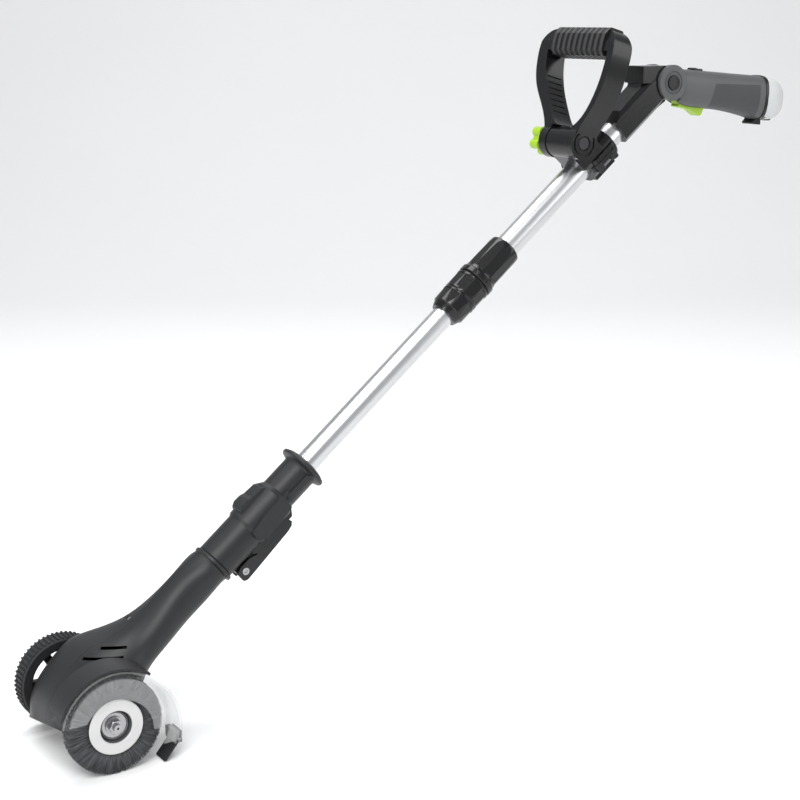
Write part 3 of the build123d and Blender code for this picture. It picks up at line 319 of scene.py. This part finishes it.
def make_materials():
    """A material for each slot of the record, and for each finish in OWN_FINISH."""
    return {
        "dark_plastic": moulded("dark_plastic", (0.016, 0.0165, 0.0175), 0.42, edge=0.0, shine=0.3),
        "black_plastic": moulded("black_plastic", (0.005, 0.0052, 0.0056), 0.20, grain=0.06, shine=0.4),
        "grey_plastic": moulded("grey_plastic", (0.075, 0.077, 0.080), 0.42, edge=0.0, shine=0.35),
        "lime_plastic": moulded("lime_plastic", (0.27, 0.44, 0.018), 0.38),
        "hub_plastic": moulded("hub_plastic", (0.50, 0.50, 0.495), 0.45),
        "mid_plastic": moulded("mid_plastic", (0.14, 0.14, 0.14), 0.4),
        "pack_plastic": milky("pack_plastic", (0.50, 0.515, 0.52)),
        "soft_rubber": moulded("soft_rubber", (0.018, 0.0185, 0.0195), 0.48, grain=0.4, edge=0.0, shine=0.3),
        "tyre_rubber": moulded("tyre_rubber", (0.020, 0.0205, 0.0215), 0.62, grain=0.5, shine=0.3),
        "bristle": bristle_fibre("bristle", (0.050, 0.052, 0.056)),
        "clear_guard": clear_sheet("clear_guard", (0.90, 0.905, 0.905)),
        "tube_metal": metal("tube_metal", (0.60, 0.605, 0.615), 0.31, grain=1800.0, draw=80.0, spread=0.012),
        "black_steel": metal("black_steel", (0.06, 0.06, 0.065), 0.32),
        "steel": metal("steel", (0.36, 0.36, 0.37), 0.3),
        "winding": moulded("winding", (0.42, 0.16, 0.06), 0.35),
        "brass_gear": metal("brass_gear", (0.66, 0.48, 0.20), 0.32),
        "cell_wrap": moulded("cell_wrap", (0.10, 0.26, 0.17), 0.3),
        "sleeve_rubber": ribbed_rubber("sleeve_rubber", (0.020, 0.0205, 0.0215)),
        "grip_rubber": moulded("grip_rubber", (0.048, 0.049, 0.051), 0.5, grain=0.4, edge=0.0, shine=0.3),
    }


def dress(nodes, record, materials):
    """Each CAD node takes the material of its slot, or a finish of its own."""
    for part in record["subparts"]:
        finish = OWN_FINISH.get(part["node"], part["material_slot"])
        mesh = nodes[part["node"]].data
        mesh.materials.clear()
        mesh.materials.append(materials[finish])


# ---- meshes ---------------------------------------------------------------------------------
def mesh_object(name, bm, material):
    """A smooth-shaded object of the mesh in bm, which is freed."""
    mesh = bpy.data.meshes.new(name)
    bm.to_mesh(mesh)
    bm.free()
    for face in mesh.polygons:
        face.use_smooth = True
    mesh.materials.append(material)
    obj = bpy.data.objects.new(name, mesh)
    bpy.context.scene.collection.objects.link(obj)
    return obj


def add_strand(bm, root, tip, r):
    """A thin three-sided strand from root to tip, closed at both ends."""
    way = (tip - root).normalized()
    side = way.orthogonal().normalized()
    rings = []
    for centre, radius in ((root, r), (tip, r * TIP_TAPER)):
        turn = [Matrix.Rotation(i * 2 * math.pi / 3, 3, way) @ side * radius for i in range(3)]
        rings.append([bm.verts.new(centre + offset) for offset in turn])
    for i in range(3):
        j = (i + 1) % 3
        bm.faces.new((rings[0][i], rings[0][j], rings[1][j], rings[1][i]))
    bm.faces.new(rings[0][::-1])
    bm.faces.new(rings[1])


def polar(r, angle, y):
    """World point, in metres, at radius r and an angle round the axle, at y across."""
    return Vector((r * math.cos(angle), y, AXLE_HEIGHT + r * math.sin(angle))) * MM


def make_bristles(material):
    """The brush: rows of radial bristles, each slightly off true."""
    chance = random.Random(7)
    bm = bmesh.new()
    y0, y1 = BRUSH_Y
    for row in range(BRISTLE_ROWS):
        y = y0 + ROW_INSET + (y1 - y0 - 2 * ROW_INSET) * row / (BRISTLE_ROWS - 1)
        stagger = 0.5 * (row % 2)
        for i in range(BRISTLES_PER_ROW):
            angle = 2 * math.pi * (i + stagger) / BRISTLES_PER_ROW
            angle += chance.uniform(-ROOT_WOBBLE, ROOT_WOBBLE)
            reach = BRUSH_R - chance.uniform(0.0, LENGTH_SPREAD)
            drift = chance.uniform(-TIP_DRIFT, TIP_DRIFT)
            root = polar(BRISTLE_ROOT_R, angle, y)
            tip = polar(reach, angle + drift, y + chance.uniform(-TIP_SWAY, TIP_SWAY))
            add_strand(bm, root, tip, BRISTLE_R * MM)
    return mesh_object("bristle_strands", bm, material)


def turned(name, profile, material, steps):
    """A closed outline of (radius, y) points turned about the axle."""
    bm = bmesh.new()
    rings = []
    for i in range(steps):
        angle = 2 * math.pi * i / steps
        rings.append([bm.verts.new(polar(r, angle, y)) for r, y in profile])
    for i in range(steps):
        a, b = rings[i], rings[(i + 1) % steps]
        for j in range(len(profile)):
            k = (j + 1) % len(profile)
            bm.faces.new((a[j], a[k], b[k], b[j]))
    bmesh.ops.recalc_face_normals(bm, faces=bm.faces)
    return mesh_object(name, bm, material)


def make_bristle_bed(material):
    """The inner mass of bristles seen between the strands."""
    y0, y1 = BRUSH_Y
    side = list(zip((BRISTLE_ROOT_R, BED_SHOULDER_R, BED_R), BED_INSET))
    outer = [(r, y0 + inset) for r, inset in side]
    inner = [(r, y1 - inset) for r, inset in reversed(side)]
    return turned("bristle_bed", outer + inner, material, BED_STEPS)


# ---- studio ---------------------------------------------------------------------------------
def floor_paint():
    """Matt, nearly white paint."""
    graph = Graph("studio_floor")
    shader = graph.add("ShaderNodeBsdfPrincipled", Roughness=0.7)
    cloud = noise(graph, 1.5, 3.0)
    tone = tint(graph, cloud.outputs["Fac"], (0.83, 0.83, 0.83), (0.86, 0.86, 0.86))
    graph.join(tone, shader.inputs["Base Color"])
    return graph.finish(shader.outputs["BSDF"])


def floor_line():
    """The floor and the wall from the side, as points of (distance back, height)."""
    line = [(FLOOR_FRONT, 0.0), (FLOOR_BACK, 0.0)]
    for i in range(1, FLOOR_BEND_STEPS + 1):
        a = math.pi / 2 * i / FLOOR_BEND_STEPS
        line.append((FLOOR_BACK + FLOOR_BEND_R * math.sin(a), FLOOR_BEND_R * (1 - math.cos(a))))
    line.append((FLOOR_BACK + FLOOR_BEND_R, WALL_TOP))
    return line


def make_floor():
    """A pale floor, square to the camera, that curves up behind the object."""
    line = floor_line()
    bm = bmesh.new()
    turn = Matrix.Rotation(-CAMERA_YAW, 3, "Z")
    rows = []
    for across in (-FLOOR_HALF_WIDTH, FLOOR_HALF_WIDTH):
        rows.append([bm.verts.new(turn @ Vector((across, along, up))) for along, up in line])
    for i in range(len(line) - 1):
        bm.faces.new((rows[0][i], rows[1][i], rows[1][i + 1], rows[0][i + 1]))
    bmesh.ops.recalc_face_normals(bm, faces=bm.faces)
    mesh_object("studio_floor", bm, floor_paint())


def make_camera():
    """The camera at the photograph's viewing angle."""
    data = bpy.data.cameras.new("camera")
    data.lens = CAMERA_LENS
    data.sensor_width = 36.0
    camera = bpy.data.objects.new("camera", data)
    bpy.context.scene.collection.objects.link(camera)
    flat = math.cos(CAMERA_PITCH)
    look = Vector((math.sin(CAMERA_YAW) * flat, math.cos(CAMERA_YAW) * flat, -math.sin(CAMERA_PITCH)))
    camera.location = CAMERA_PLACE
    camera.rotation_euler = look.to_track_quat("-Z", "Y").to_euler()
    bpy.context.scene.camera = camera


def area_light(name, place, target, size, power):
    """A soft rectangular lamp at place, turned to its target."""
    data = bpy.data.lights.new(name, "AREA")
    data.shape = "RECTANGLE"
    data.size, data.size_y = size
    data.energy = power
    light = bpy.data.objects.new(name, data)
    bpy.context.scene.collection.objects.link(light)
    light.location = place
    light.rotation_euler = (Vector(target) - Vector(place)).to_track_quat("-Z", "Y").to_euler()


def make_lights():
    """Soft lamps on the object, one on its head and one on the wall behind."""
    middle = (0.42, 0.0, 0.35)
    area_light("key", (-1.2, -1.8, 2.6), middle, (1.6, 1.6), 80.0)
    area_light("fill", (2.2, -2.0, 1.4), middle, (1.8, 1.8), 24.0)
    area_light("top", (0.3, 0.6, 2.8), middle, (2.2, 1.4), 55.0)
    head = (0.0, 0.0, 0.1)
    area_light("front", (-2.2, -0.7, 0.9), head, (1.0, 1.0), 26.0)
    wall = (2.2, 3.6, 1.3)
    area_light("backdrop", (1.0, 1.4, 2.8), wall, (3.0, 1.0), 14.0)


def make_world():
    """Even, slightly cool light from all round."""
    world = bpy.data.worlds.new("studio")
    world.use_nodes = True
    background = world.node_tree.nodes["Background"]
    background.inputs["Color"].default_value = (0.95, 0.97, 1.0, 1.0)
    background.inputs["Strength"].default_value = 0.45
    bpy.context.scene.world = world
    bpy.context.scene.view_settings.view_transform = "Standard"


def main():
    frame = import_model()
    materials = make_materials()
    dress(frame["nodes"], frame["record"], materials)
    bristles = make_bristles(materials["bristle"])
    bed = make_bristle_bed(materials["bristle"])
    for piece in (bristles, bed):
        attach(piece, "brush")
        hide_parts("brush_bristles")
    make_floor()
    make_lights()
    make_world()
    make_camera()


main()
